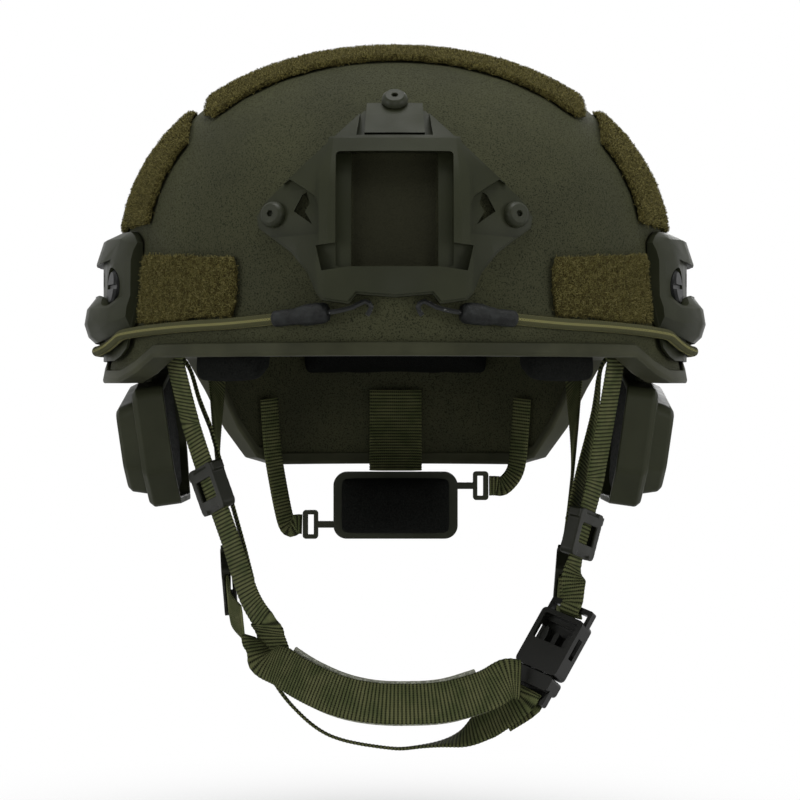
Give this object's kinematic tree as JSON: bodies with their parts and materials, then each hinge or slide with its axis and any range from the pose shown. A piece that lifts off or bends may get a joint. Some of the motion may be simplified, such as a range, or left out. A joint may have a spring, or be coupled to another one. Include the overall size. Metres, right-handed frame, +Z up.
{
  "type": "combat helmet",
  "caption": "High-cut combat helmet with night-vision shroud, side rails, stretch cords, ear covers, pads, a fit dial and a buckled chin harness.",
  "frame": {"origin": "middle of the head opening, level with the bottom edge of the front brim, where the head enters", "axes": "+X to the wearer's left, +Y to the back of the head, +Z up to the crown"},
  "size_m": [0.257, 0.2777, 0.2851],
  "materials": {
    "shell": "matt textured olive paint on laid-up composite",
    "trim": "dull moulded rubber",
    "moulding": "satin moulded plastic",
    "olive_screws": "painted steel",
    "black_screws": "blackened steel",
    "cord": "braided elastic",
    "sleeve": "shrunk plastic tube",
    "hook_wire": "black coated steel wire",
    "loop_pile": "fuzzy loop pile",
    "cover": "satin moulded plastic",
    "foam": "open-cell foam",
    "pad_cloth": "brushed knit over foam",
    "webbing": "woven nylon webbing",
    "black_plates": "moulded plastic",
    "slider": "moulded plastic",
    "lining": "soft knit",
    "buckle": "moulded plastic",
    "dial": "moulded plastic",
    "rack": "moulded plastic"
  },
  "bodies": {
    "helmet": {"shell": "shell", "edge_trim": "trim", "shroud": "moulding", "shroud_screws": "olive_screws", "rail_bolts": "black_screws", "rail_left": "moulding", "rail_right": "moulding", "cord_left": "cord", "cord_right": "cord", "sleeve_left": "sleeve", "sleeve_right": "sleeve", "hook_left": "hook_wire", "hook_right": "hook_wire", "patch_crown": "loop_pile", "patch_rear": "loop_pile", "patch_side_left": "loop_pile", "patch_side_right": "loop_pile", "patch_front_left": "loop_pile", "patch_front_right": "loop_pile", "ear_cover_left": "cover", "ear_cover_right": "cover", "ear_foam_left": "foam", "ear_foam_right": "foam", "ear_screws": "black_screws", "pad_front": "pad_cloth", "pad_crown": "pad_cloth", "pad_rear": "pad_cloth", "pad_temple_left": "pad_cloth", "pad_temple_right": "pad_cloth", "pad_back_left": "pad_cloth", "pad_back_right": "pad_cloth", "strap_front_left": "webbing", "strap_front_right": "webbing", "strap_return_left": "webbing", "strap_return_right": "webbing", "strap_rear_left": "webbing", "strap_rear_right": "webbing", "strap_anchors": "black_plates", "buckle_socket": "buckle", "dial_housing": "dial", "nape_pad": "pad_cloth", "nape_hanger": "webbing", "nape_link_left": "webbing", "nape_link_right": "webbing"},
    "chin_strap": {"strap_lower_right": "webbing", "chin_band": "webbing", "chin_lining": "lining", "under_chin_strap": "webbing", "buckle_plug": "buckle"},
    "prong_inner": {"prong_inner": "buckle"},
    "prong_outer": {"prong_outer": "buckle"},
    "slider_right": {"slider_right": "slider"},
    "slider_left": {"slider_left": "slider"},
    "rear_slider_right": {"rear_slider_right": "slider"},
    "rear_slider_left": {"rear_slider_left": "slider"},
    "dial_knob": {"dial_knob": "dial"},
    "rack_left": {"rack_left": "rack"},
    "rack_right": {"rack_right": "rack"}
  },
  "joints": [
    {"name": "chin_swing", "type": "hinge", "parent": "helmet", "child": "chin_strap", "pos_m": [-0.0786, -0.0586, -0.034], "axis": [-0.0293, 0.9765, -0.2134], "range_deg": [0, 20]},
    {"name": "prong_inner_squeeze", "type": "slide", "parent": "chin_strap", "child": "prong_inner", "axis": [0.7351, -0.6179, -0.279], "range_m": [0, 0.0015], "stiffness_N_per_m": 500},
    {"name": "prong_outer_squeeze", "type": "slide", "parent": "chin_strap", "child": "prong_outer", "axis": [-0.7351, 0.6179, 0.279], "range_m": [0, 0.0015], "stiffness_N_per_m": 500},
    {"name": "slider_right_slide", "type": "slide", "parent": "chin_strap", "child": "slider_right", "axis": [0.3378, -0.0908, -0.9368], "range_m": [0, 0.012]},
    {"name": "slider_left_slide", "type": "slide", "parent": "helmet", "child": "slider_left", "axis": [0.2517, 0.0932, 0.9633], "range_m": [0, 0.009]},
    {"name": "rear_slider_right_slide", "type": "slide", "parent": "helmet", "child": "rear_slider_right", "axis": [0.0759, -0.9011, -0.4269], "range_m": [-0.008, 0.008]},
    {"name": "rear_slider_left_slide", "type": "slide", "parent": "helmet", "child": "rear_slider_left", "axis": [-0.0759, -0.9011, -0.4269], "range_m": [-0.008, 0.008]},
    {"name": "dial_turn", "type": "hinge", "parent": "helmet", "child": "dial_knob", "pos_m": [0, 0.108, -0.064], "axis": [0, 1, 0], "range_deg": [-50, 140]},
    {"name": "rack_left_slide", "type": "slide", "parent": "helmet", "child": "rack_left", "axis": [1, 0, 0], "range_m": [-0.0055, 0.015], "deforming": ["nape_link_left"]},
    {"name": "rack_right_slide", "type": "slide", "parent": "helmet", "child": "rack_right", "axis": [-1, 0, 0], "range_m": [-0.0055, 0.015], "deforming": ["nape_link_right"]}
  ],
  "couplings": [
    {"joint": "rack_left_slide", "follows": "dial_turn", "m_per_rad": 0.006},
    {"joint": "rack_right_slide", "follows": "dial_turn", "m_per_rad": 0.006}
  ]
}
